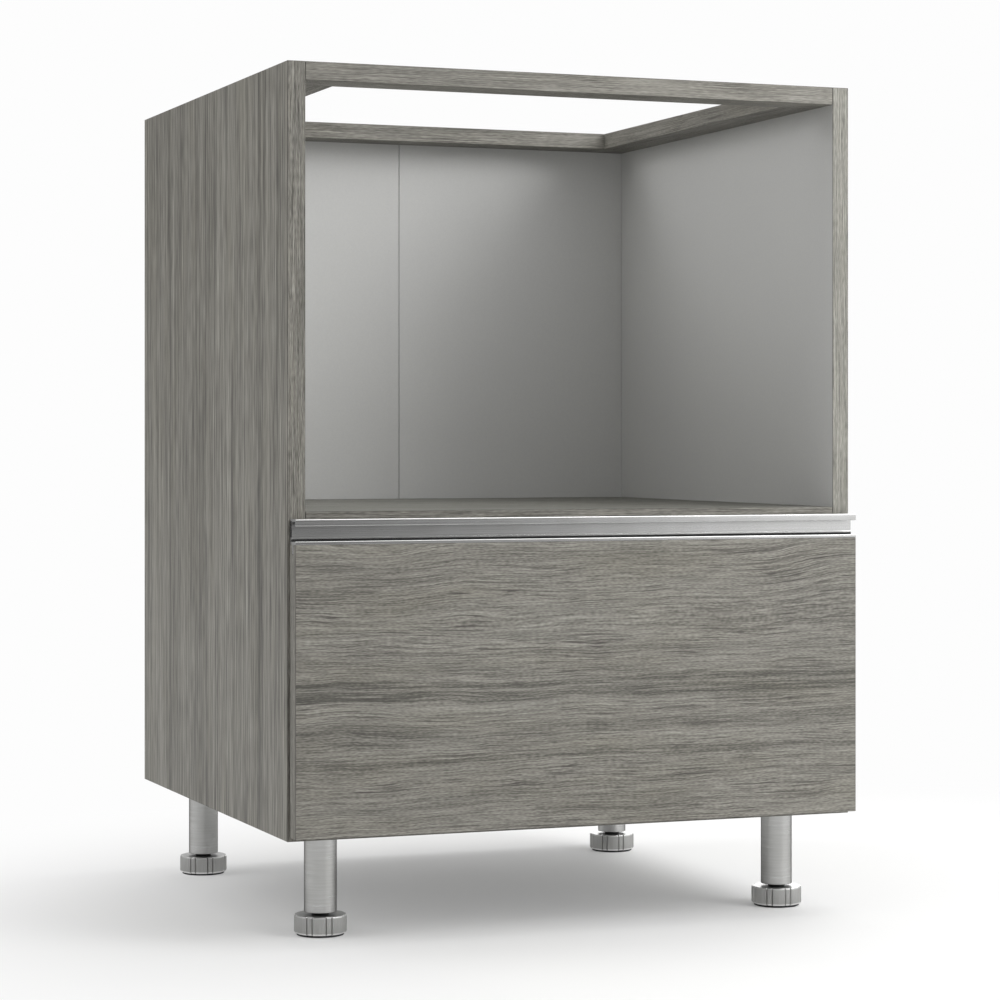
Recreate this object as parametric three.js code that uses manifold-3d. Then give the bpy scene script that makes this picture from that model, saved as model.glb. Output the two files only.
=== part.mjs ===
// Microwave cabinet: a 600 mm kitchen base unit with an open niche above one deep drawer,
// four top rails, a two-part back and four screw-adjustable legs.
//
// Millimetres, +Z up, front facing -Y. The origin is on the floor, under the middle of the
// closed cabinet. Left and right are those of a person who faces the front.

import * as THREE from 'three';
import { mergeVertices } from 'three/addons/utils/BufferGeometryUtils.js';
import Module from 'manifold-3d';

const wasm = await Module();
wasm.setup();

// ---------------------------------------------------------------------------------------
// Driving dimensions
// ---------------------------------------------------------------------------------------

// Carcass
const CARCASS_WIDTH = 600;
const CARCASS_DEPTH = 548;
const CARCASS_HEIGHT = 743;
const BOARD_THICKNESS = 18;
const NICHE_FLOOR_HEIGHT = 314;     // underside of the carcass to the top of the niche shelf
const RAIL_WIDTH = 40;
const RAIL_THICKNESS = 18;
const GLUE_LINE = 0.05;             // between faces that are fastened or lie on each other

// Thin back, in two halves that slide into grooves
const BACK_THICKNESS = 3;
const BACK_SETBACK = 8;             // rear edges of the sides to the rear face of the back
const BACK_GROOVE_DEPTH = 8;
const BACK_CLEARANCE = 0.3;
const BACK_SEAM_GAP = 0.6;
const SEAM_TAPE_WIDTH = 40;
const SEAM_TAPE_THICKNESS = 0.5;
const SEAM_TAPE_END_MARGIN = 1;

// Drawer front with its aluminium grip profile
const FRONT_THICKNESS = 18;
const FRONT_STANDOFF = 2;           // rear face of the drawer front to the carcass
const FRONT_SIDE_REVEAL = 2;
const FRONT_BOTTOM_REVEAL = 4;
const HANDLE_BELOW_SHELF = 7;       // top of the grip profile to the top of the niche shelf
const HANDLE_HEIGHT = 24;
const HANDLE_WALL = 1.5;
const HANDLE_LIP_HEIGHT = 7;
const HANDLE_BEAD_HEIGHT = 4;
const HANDLE_RECESS_DEPTH = 11;
const TONGUE_THICKNESS = 3;
const TONGUE_DEPTH = 9;
const TONGUE_CLEARANCE = 0.15;
const BUMPER_DIAMETER = 8;
const BUMPER_DROP = 24;             // grip profile to the middle of a bumper

// Drawer box
const DRAWER_BOARD_THICKNESS = 15;
const DRAWER_BOTTOM_THICKNESS = 6;
const DRAWER_BOTTOM_HEIGHT = 12;    // lower edge of the box to the underside of its bottom
const DRAWER_GROOVE_DEPTH = 6;
const DRAWER_GROOVE_CLEARANCE = 0.2;
const DRAWER_CLEARANCE_BELOW = 22;
const DRAWER_CLEARANCE_ABOVE = 56;
const DRAWER_REAR_CLEARANCE = 39;
const DRAWER_TRAVEL = 480;

// Screws that hold the drawer front to the box
const SCREW_DIAMETER = 4;
const SCREW_LENGTH = 28;
const SCREW_TIP_LENGTH = 4;
const SCREW_HEAD_DIAMETER = 8;
const SCREW_HEAD_HEIGHT = 2.4;
const SCREW_CLEARANCE = 0.15;
const SCREW_SIDE_INSET = 60;        // inside of a drawer side to the screw
const SCREW_EDGE_INSET = 40;        // upper and lower edges of the box to the screws

// Three-member ball-bearing runners
const RUNNER_HEIGHT = 45;
const RUNNER_THICKNESS = 12.7;
const RUNNER_SIDE_CLEARANCE = 0.3;
const RUNNER_SHEET = 1.2;
const RUNNER_CENTRE_HEIGHT = 60;    // lower edge of the drawer box to the middle of the runner
const RUNNER_FRONT_SETBACK = 2;
const RUNNER_REAR_CLEARANCE = 35;
const RUNNER_LIP_SETBACK = 2.7;     // drawer side to the open edges of the outer members
const RUNNER_LIP_HEIGHT = 3;
const RUNNER_WEB_GAP = 0.8;
const RUNNER_INNER_FLANGE_GAP = 2;
const MIDDLE_MEMBER_SETBACK = 8;
const BALL_DIAMETER = 3.4;
const BALL_CLEARANCE = 0.1;
const BALLS_PER_ROW = 4;
const CAGE_SHEET = 0.4;
const CAGE_ARM_THICKNESS = 0.8;
const CAGE_END_MARGIN = 4;

// Legs
const LEG_HEIGHT = 100;             // floor to the underside of the carcass
const LEG_SIDE_INSET = 52;
const LEG_FRONT_INSET = 60;
const LEG_BACK_INSET = 60;
const TUBE_DIAMETER = 32;
const TUBE_WALL = 1.5;
const LEG_PLATE_THICKNESS = 3;
const LEG_PLATE_RIM = 6;            // screw circle to the edge of the plate
const LEG_PLATE_SCREW_OFFSET = 7;   // outside of the tube to the screw circle
const LEG_PLATE_SCREW_COUNT = 4;
const LEG_PLATE_HOLE_DIAMETER = 4.5;
const LEG_PLATE_SINK_DIAMETER = 8.5;
const LEG_PLATE_SINK_DEPTH = 2;
const SPIGOT_LENGTH = 12;
const SPIGOT_WALL = 3;
const PLUG_CLEARANCE = 0.15;
const BUSH_LENGTH = 22;
const BUSH_NOSE_DIAMETER = 17;
const BUSH_NOSE_LENGTH = 2.5;
const SPINDLE_DIAMETER = 10;
const SPINDLE_REACH = 46;           // top of the adjusting wheel to the top of the spindle
const SPINDLE_CHAMFER = 1;
const SPINDLE_HEAD_WIDTH = 17;      // across the flats of the hexagon
const SPINDLE_HEAD_HEIGHT = 6.5;
const THREAD_CLEARANCE = 0.25;
const WHEEL_DIAMETER = 51.4;
const WHEEL_HEIGHT = 18;
const WHEEL_LOBES = 8;
const WHEEL_LOBE_ANGLE = 30;        // degrees of each grip lobe
const WHEEL_FLUTE_DEPTH = 1.5;
const WHEEL_EDGE = 1.2;
const PAD_INSET = 2.5;              // wheel to the edge of the floor pad
const PAD_THICKNESS = 2;
const PAD_EDGE = 0.6;
const PAD_PIN_DIAMETER = 6;
const PAD_PIN_HEIGHT = 4;
const PAD_PIN_CLEARANCE = 0.2;

// Facets of the round pieces
const TUBE_FACETS = 24;
const SMALL_FACETS = 16;
const HOLE_FACETS = 8;
const WHEEL_LOBE_FACETS = 3;
const BALL_FACETS = 6;

// ---------------------------------------------------------------------------------------
// Places that follow from the dimensions
// ---------------------------------------------------------------------------------------

const totalDepth = CARCASS_DEPTH + FRONT_STANDOFF + FRONT_THICKNESS;
const frontFaceY = -totalDepth / 2;
const frontRearY = frontFaceY + FRONT_THICKNESS;
const carcassFrontY = frontRearY + FRONT_STANDOFF;
const carcassBackY = carcassFrontY + CARCASS_DEPTH;
const backRearY = carcassBackY - BACK_SETBACK;
const backFrontY = backRearY - BACK_THICKNESS;

const sideOuterX = CARCASS_WIDTH / 2;
const sideInnerX = sideOuterX - BOARD_THICKNESS;
const betweenSidesX = sideInnerX - GLUE_LINE;

const carcassBottomZ = LEG_HEIGHT;
const carcassTopZ = carcassBottomZ + CARCASS_HEIGHT;
const bottomPanelTopZ = carcassBottomZ + BOARD_THICKNESS;
const shelfTopZ = carcassBottomZ + NICHE_FLOOR_HEIGHT;
const shelfUndersideZ = shelfTopZ - BOARD_THICKNESS;
const railUndersideZ = carcassTopZ - RAIL_THICKNESS;
const backGrooveFloorZ = bottomPanelTopZ - BACK_GROOVE_DEPTH;

const frontHalfWidth = sideOuterX - FRONT_SIDE_REVEAL;
const handleTopZ = shelfTopZ - HANDLE_BELOW_SHELF;
const handleBottomZ = handleTopZ - HANDLE_HEIGHT;

const boxHalfWidth = sideInnerX - RUNNER_THICKNESS - RUNNER_SIDE_CLEARANCE;
const boxInnerX = boxHalfWidth - DRAWER_BOARD_THICKNESS;
const boxFrontY = frontRearY + GLUE_LINE;
const boxRearY = backFrontY - DRAWER_REAR_CLEARANCE;
const boxBottomZ = bottomPanelTopZ + DRAWER_CLEARANCE_BELOW;
const boxTopZ = shelfUndersideZ - DRAWER_CLEARANCE_ABOVE;

// ---------------------------------------------------------------------------------------
// Materials
// ---------------------------------------------------------------------------------------

function finish(color, roughness, metalness) {
  return new THREE.MeshStandardMaterial({ color, roughness, metalness });
}

const greyOakLaminate = () => finish(0x7f7c76, 0.6, 0);
const greyMelamine = () => finish(0xb5b5b2, 0.55, 0);
const satinAluminium = () => finish(0xa8a8a6, 0.35, 0.9);
const zincPlatedSteel = () => finish(0xb4b6b8, 0.35, 0.9);
const blackNylon = () => finish(0x26272a, 0.5, 0);
const blackRubber = () => finish(0x1c1c1c, 0.8, 0);
const clearSilicone = () => finish(0xdadcd8, 0.4, 0);
const greyTape = () => finish(0xc9c9c5, 0.7, 0);

// ---------------------------------------------------------------------------------------
// Making shapes
// ---------------------------------------------------------------------------------------

const cabinet = new THREE.Group();

function addPiece(name, geometry, material) {
  const mesh = new THREE.Mesh(geometry, material);
  mesh.name = name;
  cabinet.add(mesh);
}

function toSolid(geometry) {
  const bare = geometry.clone();
  bare.deleteAttribute('normal');
  bare.deleteAttribute('uv');
  const merged = mergeVertices(bare);
  return new wasm.Manifold(new wasm.Mesh({
    numProp: 3,
    vertProperties: merged.attributes.position.array,
    triVerts: Uint32Array.from(merged.index.array),
  }));
}

function toGeometry(solid) {
  const mesh = solid.getMesh();
  const geometry = new THREE.BufferGeometry();
  geometry.setAttribute('position', new THREE.BufferAttribute(mesh.vertProperties, 3));
  geometry.setIndex(new THREE.BufferAttribute(mesh.triVerts, 1));
  return geometry;
}

function cut(geometry, ...tools) {
  const solid = tools.reduce((rest, tool) => rest.subtract(toSolid(tool)), toSolid(geometry));
  return toGeometry(solid);
}

function join(geometry, ...others) {
  const solid = others.reduce((rest, other) => rest.add(toSolid(other)), toSolid(geometry));
  return toGeometry(solid);
}

// A box between two places on each axis, given in either order.
function block([xa, xb], [ya, yb], [za, zb]) {
  const geometry = new THREE.BoxGeometry(Math.abs(xb - xa), Math.abs(yb - ya), Math.abs(zb - za));
  return geometry.translate((xa + xb) / 2, (ya + yb) / 2, (za + zb) / 2);
}

// A turned piece on a vertical axis. The profile is [radius, height] pairs, going up on the
// outside and down on the inside.
function turned(profile, facets) {
  const points = profile.map(([radius, height]) => new THREE.Vector2(radius, height));
  return new THREE.LatheGeometry(points, facets).rotateX(Math.PI / 2);
}

function ring(innerRadius, outerRadius, bottomZ, topZ, facets) {
  return turned([
    [innerRadius, bottomZ],
    [outerRadius, bottomZ],
    [outerRadius, topZ],
    [innerRadius, topZ],
    [innerRadius, bottomZ],
  ], facets);
}

function uprightCylinder(radius, bottomZ, topZ, facets) {
  const geometry = new THREE.CylinderGeometry(radius, radius, topZ - bottomZ, facets);
  return geometry.rotateX(Math.PI / 2).translate(0, 0, (bottomZ + topZ) / 2);
}

function outlineShape(points) {
  return new THREE.Shape(points.map(([u, v]) => new THREE.Vector2(u, v)));
}

function extruded(shape, length) {
  return new THREE.ExtrudeGeometry(shape, { depth: length, bevelEnabled: false });
}

// The radius of a faceted bore whose flats stay clear of a round shaft.
function boreRadius(shaftRadius, clearance, facets) {
  return (shaftRadius + clearance) / Math.cos(Math.PI / facets);
}

// ---------------------------------------------------------------------------------------
// Carcass
// ---------------------------------------------------------------------------------------

function sidePanel(side) {
  const panel = block(
    [side * sideInnerX, side * sideOuterX],
    [carcassFrontY, carcassBackY],
    [carcassBottomZ, carcassTopZ],
  );
  const groove = block(
    [side * (sideInnerX - 1), side * (sideInnerX + BACK_GROOVE_DEPTH)],
    [backFrontY - BACK_CLEARANCE, backRearY + BACK_CLEARANCE],
    [backGrooveFloorZ, carcassTopZ + 1],
  );
  return cut(panel, groove);
}

function bottomPanel() {
  const panel = block(
    [-betweenSidesX, betweenSidesX],
    [carcassFrontY, carcassBackY],
    [carcassBottomZ, bottomPanelTopZ],
  );
  const groove = block(
    [-sideOuterX, sideOuterX],
    [backFrontY - BACK_CLEARANCE, backRearY + BACK_CLEARANCE],
    [backGrooveFloorZ, bottomPanelTopZ + 1],
  );
  return cut(panel, groove);
}

function nicheShelf() {
  return block(
    [-betweenSidesX, betweenSidesX],
    [carcassFrontY, backFrontY - BACK_CLEARANCE],
    [shelfUndersideZ, shelfTopZ],
  );
}

const frontRailRearY = carcassFrontY + RAIL_WIDTH;
const backRailRearY = backFrontY - BACK_CLEARANCE;
const backRailFrontY = backRailRearY - RAIL_WIDTH;

function crossRail(frontY, rearY) {
  return block([-betweenSidesX, betweenSidesX], [frontY, rearY], [railUndersideZ, carcassTopZ]);
}

function sideRail(side) {
  return block(
    [side * betweenSidesX, side * (betweenSidesX - RAIL_WIDTH)],
    [frontRailRearY + GLUE_LINE, backRailFrontY - GLUE_LINE],
    [railUndersideZ, carcassTopZ],
  );
}

function backHalf(side) {
  return block(
    [side * BACK_SEAM_GAP / 2, side * (sideInnerX + BACK_GROOVE_DEPTH - BACK_CLEARANCE)],
    [backFrontY, backRearY],
    [backGrooveFloorZ + BACK_CLEARANCE, carcassTopZ],
  );
}

function seamTape() {
  return block(
    [-SEAM_TAPE_WIDTH / 2, SEAM_TAPE_WIDTH / 2],
    [backRearY + GLUE_LINE, backRearY + GLUE_LINE + SEAM_TAPE_THICKNESS],
    [bottomPanelTopZ + SEAM_TAPE_END_MARGIN, carcassTopZ - SEAM_TAPE_END_MARGIN],
  );
}

function addCarcass() {
  addPiece('side_panel_left', sidePanel(-1), greyOakLaminate());
  addPiece('side_panel_right', sidePanel(1), greyOakLaminate());
  addPiece('bottom_panel', bottomPanel(), greyOakLaminate());
  addPiece('niche_shelf', nicheShelf(), greyOakLaminate());
  addPiece('top_rail_front', crossRail(carcassFrontY, frontRailRearY), greyOakLaminate());
  addPiece('top_rail_back', crossRail(backRailFrontY, backRailRearY), greyOakLaminate());
  addPiece('top_rail_left', sideRail(-1), greyOakLaminate());
  addPiece('top_rail_right', sideRail(1), greyOakLaminate());
  addPiece('back_panel_left', backHalf(-1), greyMelamine());
  addPiece('back_panel_right', backHalf(1), greyMelamine());
  addPiece('back_seam_tape', seamTape(), greyTape());
}

// ---------------------------------------------------------------------------------------
// Drawer front and grip profile
// ---------------------------------------------------------------------------------------

// Middle of the grip profile's tongue, behind the front face.
const tongueCentre = FRONT_THICKNESS / 2;

const screwHeights = [boxBottomZ + SCREW_EDGE_INSET, boxTopZ - SCREW_EDGE_INSET];
const screwX = boxInnerX - SCREW_SIDE_INSET;
const screwHeadY = boxFrontY + DRAWER_BOARD_THICKNESS + GLUE_LINE;

// A hole along Y for every screw of the drawer front.
function screwHoles(frontY, rearY) {
  const radius = boreRadius(SCREW_DIAMETER / 2, SCREW_CLEARANCE, HOLE_FACETS);
  const holes = [];
  for (const side of [-1, 1]) {
    for (const height of screwHeights) {
      const hole = new THREE.CylinderGeometry(radius, radius, rearY - frontY, HOLE_FACETS);
      holes.push(hole.translate(side * screwX, (frontY + rearY) / 2, height));
    }
  }
  return holes;
}

function drawerFront() {
  const board = block(
    [-frontHalfWidth, frontHalfWidth],
    [frontFaceY, frontRearY],
    [carcassBottomZ + FRONT_BOTTOM_REVEAL, handleBottomZ - GLUE_LINE],
  );
  const slotHalfWidth = TONGUE_THICKNESS / 2 + TONGUE_CLEARANCE;
  const tongueSlot = block(
    [-sideOuterX, sideOuterX],
    [frontFaceY + tongueCentre - slotHalfWidth, frontFaceY + tongueCentre + slotHalfWidth],
    [handleBottomZ - TONGUE_DEPTH - TONGUE_CLEARANCE, handleBottomZ + 1],
  );
  const pilotFloorY = screwHeadY - SCREW_LENGTH - SCREW_CLEARANCE;
  return cut(board, tongueSlot, ...screwHoles(pilotFloorY, frontRearY + 1));
}

// Section of the grip profile: distances behind the front face and above the wooden edge.
function handleSection() {
  const top = HANDLE_HEIGHT;
  const depth = FRONT_THICKNESS;
  const wall = HANDLE_WALL;
  const recess = HANDLE_RECESS_DEPTH;
  return outlineShape([
    [0, 0],
    [tongueCentre - TONGUE_THICKNESS / 2, 0],
    [tongueCentre - TONGUE_THICKNESS / 2, -TONGUE_DEPTH],
    [tongueCentre + TONGUE_THICKNESS / 2, -TONGUE_DEPTH],
    [tongueCentre + TONGUE_THICKNESS / 2, 0],
    [depth, 0],
    [depth, top],
    [0, top],
    [0, top - HANDLE_LIP_HEIGHT],
    [wall, top - HANDLE_LIP_HEIGHT],
    [wall, top - wall],
    [recess, top - wall],
    [recess, wall],
    [wall, wall],
    [wall, HANDLE_BEAD_HEIGHT],
    [0, HANDLE_BEAD_HEIGHT],
  ]);
}

function handleProfile() {
  const alongX = new THREE.Matrix4().makeBasis(
    new THREE.Vector3(0, 1, 0),
    new THREE.Vector3(0, 0, 1),
    new THREE.Vector3(1, 0, 0),
  );
  const profile = extruded(handleSection(), 2 * frontHalfWidth).applyMatrix4(alongX);
  profile.translate(-frontHalfWidth, frontFaceY, handleBottomZ);
  const chamber = block(
    [-sideOuterX, sideOuterX],
    [frontFaceY + HANDLE_RECESS_DEPTH + HANDLE_WALL, frontRearY - HANDLE_WALL],
    [handleBottomZ + HANDLE_WALL, handleTopZ - HANDLE_WALL],
  );
  return cut(profile, chamber);
}

// A self-adhesive disc that meets the front edge of a side panel.
function bumper(side) {
  const thickness = FRONT_STANDOFF - 2 * GLUE_LINE;
  const radius = BUMPER_DIAMETER / 2;
  const disc = new THREE.CylinderGeometry(radius, radius, thickness, SMALL_FACETS);
  return disc.translate(
    side * (sideOuterX - BOARD_THICKNESS / 2),
    frontRearY + FRONT_STANDOFF / 2,
    handleBottomZ - BUMPER_DROP,
  );
}

// A pan-head screw that points forward from the inside of the drawer.
function frontScrew(x, height) {
  const shank = SCREW_DIAMETER / 2;
  const head = SCREW_HEAD_DIAMETER / 2;
  const profile = [
    [0, -SCREW_LENGTH],
    [shank, -SCREW_LENGTH + SCREW_TIP_LENGTH],
    [shank, 0],
    [head, 0],
    [head, SCREW_HEAD_HEIGHT / 2],
    [head / 2, SCREW_HEAD_HEIGHT],
    [0, SCREW_HEAD_HEIGHT],
  ];
  const points = profile.map(([radius, along]) => new THREE.Vector2(radius, along));
  return new THREE.LatheGeometry(points, HOLE_FACETS).translate(x, screwHeadY, height);
}

function addDrawerFront() {
  addPiece('drawer_front', drawerFront(), greyOakLaminate());
  addPiece('handle_profile', handleProfile(), satinAluminium());
  for (const [sideName, side] of [['left', -1], ['right', 1]]) {
    addPiece(`front_bumper_${sideName}`, bumper(side), clearSilicone());
    for (const [level, height] of [['lower', screwHeights[0]], ['upper', screwHeights[1]]]) {
      addPiece(`front_screw_${level}_${sideName}`, frontScrew(side * screwX, height), zincPlatedSteel());
    }
  }
}

// ---------------------------------------------------------------------------------------
// Drawer box
// ---------------------------------------------------------------------------------------

const drawerBottomZ = boxBottomZ + DRAWER_BOTTOM_HEIGHT;
const drawerBottomTopZ = drawerBottomZ + DRAWER_BOTTOM_THICKNESS;
const bottomHalfWidth = boxInnerX + DRAWER_GROOVE_DEPTH - DRAWER_GROOVE_CLEARANCE;
const bottomEdge = DRAWER_BOARD_THICKNESS - DRAWER_GROOVE_DEPTH + DRAWER_GROOVE_CLEARANCE;

function drawerBottom() {
  return block(
    [-bottomHalfWidth, bottomHalfWidth],
    [boxFrontY + bottomEdge, boxRearY - bottomEdge],
    [drawerBottomZ, drawerBottomTopZ],
  );
}

// The room that the grooves leave round the edges of the drawer bottom.
function drawerBottomRoom() {
  const room = DRAWER_GROOVE_CLEARANCE;
  return block(
    [-bottomHalfWidth - room, bottomHalfWidth + room],
    [boxFrontY + bottomEdge - room, boxRearY - bottomEdge + room],
    [drawerBottomZ - room, drawerBottomTopZ + room],
  );
}

function drawerSide(side) {
  const board = block(
    [side * boxInnerX, side * boxHalfWidth],
    [boxFrontY, boxRearY],
    [boxBottomZ, boxTopZ],
  );
  return cut(board, drawerBottomRoom());
}

function drawerEnd(frontY) {
  const board = block(
    [-boxInnerX + GLUE_LINE, boxInnerX - GLUE_LINE],
    [frontY, frontY + DRAWER_BOARD_THICKNESS],
    [boxBottomZ, boxTopZ],
  );
  return cut(board, drawerBottomRoom());
}

function drawerInnerFront() {
  const rearY = boxFrontY + DRAWER_BOARD_THICKNESS;
  return cut(drawerEnd(boxFrontY), ...screwHoles(boxFrontY - 1, rearY + 1));
}

function addDrawerBox() {
  addPiece('drawer_side_left', drawerSide(-1), greyMelamine());
  addPiece('drawer_side_right', drawerSide(1), greyMelamine());
  addPiece('drawer_inner_front', drawerInnerFront(), greyMelamine());
  addPiece('drawer_back', drawerEnd(boxRearY - DRAWER_BOARD_THICKNESS), greyMelamine());
  addPiece('drawer_bottom', drawerBottom(), greyMelamine());
}

// ---------------------------------------------------------------------------------------
// Runners: sections run from the carcass side (u = 0) to the drawer, about mid-height
// ---------------------------------------------------------------------------------------

const runnerZ = boxBottomZ + RUNNER_CENTRE_HEIGHT;
const raceGap = BALL_DIAMETER + 2 * BALL_CLEARANCE;
const lipEnd = RUNNER_THICKNESS - RUNNER_LIP_SETBACK;
const lipStart = lipEnd - RUNNER_SHEET;

// Half heights of the nested members, and the balls that run between them.
const outerHalfHeight = RUNNER_HEIGHT / 2;
const middleHalfHeight = outerHalfHeight - RUNNER_SHEET - raceGap;
const innerHalfHeight = middleHalfHeight - RUNNER_SHEET - raceGap;
const outerBallHeight = middleHalfHeight + raceGap / 2;
const innerBallHeight = innerHalfHeight + raceGap / 2;

const middleWebStart = RUNNER_SHEET + RUNNER_WEB_GAP;
const middleWebEnd = middleWebStart + RUNNER_SHEET;
const innerFlangeStart = middleWebEnd + RUNNER_INNER_FLANGE_GAP;

const outerMember = {
  frontY: carcassFrontY + RUNNER_FRONT_SETBACK,
  rearY: backFrontY - RUNNER_REAR_CLEARANCE,
};
const middleMember = {
  frontY: outerMember.frontY + MIDDLE_MEMBER_SETBACK,
  rearY: outerMember.rearY - 1.5 * MIDDLE_MEMBER_SETBACK,
};
const innerMember = {
  frontY: boxFrontY + RUNNER_FRONT_SETBACK,
  rearY: boxRearY,
};

// A channel with its back at `web`, open towards the drawer, with lips that hold the balls.
function lippedChannel(web, halfHeight) {
  const upper = [
    [web + RUNNER_SHEET, halfHeight - RUNNER_SHEET],
    [lipStart, halfHeight - RUNNER_SHEET],
    [lipStart, halfHeight - RUNNER_LIP_HEIGHT],
    [lipEnd, halfHeight - RUNNER_LIP_HEIGHT],
    [lipEnd, halfHeight],
    [web, halfHeight],
  ];
  return [...upper, ...mirrored(upper)];
}

// The drawer's own channel, with its back against the drawer and open towards the carcass.
function innerChannel() {
  const web = RUNNER_THICKNESS - RUNNER_SHEET;
  const upper = [
    [web, innerHalfHeight - RUNNER_SHEET],
    [innerFlangeStart, innerHalfHeight - RUNNER_SHEET],
    [innerFlangeStart, innerHalfHeight],
    [RUNNER_THICKNESS, innerHalfHeight],
  ];
  return [...upper, ...mirrored(upper)];
}

// The strip that keeps two rows of balls apart, one above and one below.
function cageChannel(web, armEnd, ballHeight) {
  const half = CAGE_ARM_THICKNESS / 2;
  const upper = [
    [web + CAGE_SHEET, ballHeight - half],
    [armEnd, ballHeight - half],
    [armEnd, ballHeight + half],
    [web, ballHeight + half],
  ];
  return [...upper, ...mirrored(upper)];
}

function mirrored(upper) {
  return upper.map(([u, height]) => [u, -height]).reverse();
}

function alongRunner(section, side, { frontY, rearY }) {
  const placed = section.map(([u, height]) => [side * (sideInnerX - GLUE_LINE - u), height]);
  const alongY = new THREE.Matrix4().makeBasis(
    new THREE.Vector3(1, 0, 0),
    new THREE.Vector3(0, 0, 1),
    new THREE.Vector3(0, -1, 0),
  );
  const bar = extruded(outlineShape(placed), rearY - frontY).applyMatrix4(alongY);
  return bar.translate(0, rearY, runnerZ);
}

// Cages travel half as far as the member that rolls on them, so they sit where they stay
// covered by both members with the drawer shut and with it fully out.
function cageSpan(frontY, rearY) {
  return {
    frontY: frontY + DRAWER_TRAVEL / 4 + CAGE_END_MARGIN,
    rearY: rearY - DRAWER_TRAVEL / 4 - CAGE_END_MARGIN,
  };
}

function ballCage(side, web, ballU, ballHeight, span) {
  const radius = BALL_DIAMETER / 2;
  const strip = alongRunner(cageChannel(web, ballU + radius + CAGE_SHEET, ballHeight), side, span);
  const pitch = (span.rearY - span.frontY) / BALLS_PER_ROW;
  const balls = [];
  for (let index = 0; index < BALLS_PER_ROW; index += 1) {
    for (const level of [-1, 1]) {
      const ball = new THREE.SphereGeometry(radius, BALL_FACETS, BALL_FACETS / 2);
      balls.push(ball.translate(
        side * (sideInnerX - GLUE_LINE - ballU),
        span.frontY + (index + 0.5) * pitch,
        runnerZ + level * ballHeight,
      ));
    }
  }
  return join(strip, ...balls);
}

function addRunner(sideName, side) {
  const outer = lippedChannel(0, outerHalfHeight);
  const middle = lippedChannel(middleWebStart, middleHalfHeight);
  addPiece(`runner_outer_${sideName}`, alongRunner(outer, side, outerMember), zincPlatedSteel());
  addPiece(`runner_middle_${sideName}`, alongRunner(middle, side, middleMember), zincPlatedSteel());
  addPiece(`runner_inner_${sideName}`, alongRunner(innerChannel(), side, innerMember), zincPlatedSteel());

  const outerCageWeb = RUNNER_SHEET + (RUNNER_WEB_GAP - CAGE_SHEET) / 2;
  const outerBallU = (RUNNER_SHEET + lipStart) / 2;
  const outerSpan = cageSpan(outerMember.frontY, middleMember.rearY);
  const outerCage = ballCage(side, outerCageWeb, outerBallU, outerBallHeight, outerSpan);
  addPiece(`ball_cage_outer_${sideName}`, outerCage, zincPlatedSteel());

  const innerCageWeb = middleWebEnd + CAGE_SHEET;
  const innerBallU = (middleWebEnd + lipStart) / 2;
  const innerSpan = cageSpan(middleMember.frontY, innerMember.rearY);
  const innerCage = ballCage(side, innerCageWeb, innerBallU, innerBallHeight, innerSpan);
  addPiece(`ball_cage_inner_${sideName}`, innerCage, zincPlatedSteel());
}

// ---------------------------------------------------------------------------------------
// Legs, made about their own axis and then moved to their places
// ---------------------------------------------------------------------------------------

const tubeRadius = TUBE_DIAMETER / 2;
const tubeBoreRadius = tubeRadius - TUBE_WALL;
const plugRadius = tubeBoreRadius - PLUG_CLEARANCE;
const wheelRadius = WHEEL_DIAMETER / 2;
const wheelBottomZ = PAD_THICKNESS + GLUE_LINE;
const wheelTopZ = PAD_THICKNESS + WHEEL_HEIGHT;
const noseBottomZ = wheelTopZ + GLUE_LINE;
const tubeBottomZ = wheelTopZ + BUSH_NOSE_LENGTH;
const plateUndersideZ = carcassBottomZ - LEG_PLATE_THICKNESS;
const spindleRadius = SPINDLE_DIAMETER / 2;
const spindleHeadTopZ = wheelBottomZ + SPINDLE_HEAD_HEIGHT;

// Across the corners of a hexagon that is `width` across its flats.
function hexagonRadius(width) {
  return width / 2 / Math.cos(Math.PI / 6);
}

function legPlate() {
  const screwCircle = tubeRadius + LEG_PLATE_SCREW_OFFSET;
  const plateRadius = screwCircle + LEG_PLATE_RIM;
  const topZ = carcassBottomZ - GLUE_LINE;
  const flange = uprightCylinder(plateRadius, plateUndersideZ, topZ, TUBE_FACETS);
  const spigotBottomZ = plateUndersideZ - SPIGOT_LENGTH;
  const spigot = ring(plugRadius - SPIGOT_WALL, plugRadius, spigotBottomZ, topZ, TUBE_FACETS);
  const tools = [];
  for (let index = 0; index < LEG_PLATE_SCREW_COUNT; index += 1) {
    const angle = (index + 0.5) * 2 * Math.PI / LEG_PLATE_SCREW_COUNT;
    const x = screwCircle * Math.cos(angle);
    const y = screwCircle * Math.sin(angle);
    const holeRadius = LEG_PLATE_HOLE_DIAMETER / 2;
    const hole = uprightCylinder(holeRadius, plateUndersideZ - 1, topZ + 1, HOLE_FACETS);
    const sink = new THREE.CylinderGeometry(
      holeRadius,
      LEG_PLATE_SINK_DIAMETER / 2,
      LEG_PLATE_SINK_DEPTH,
      HOLE_FACETS,
    ).rotateX(Math.PI / 2).translate(0, 0, plateUndersideZ + LEG_PLATE_SINK_DEPTH / 2);
    tools.push(hole.translate(x, y, 0), sink.translate(x, y, 0));
  }
  return cut(toGeometry(toSolid(flange).add(toSolid(spigot))), ...tools);
}

function legTube() {
  return ring(tubeBoreRadius, tubeRadius, tubeBottomZ, plateUndersideZ - GLUE_LINE, TUBE_FACETS);
}

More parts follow.
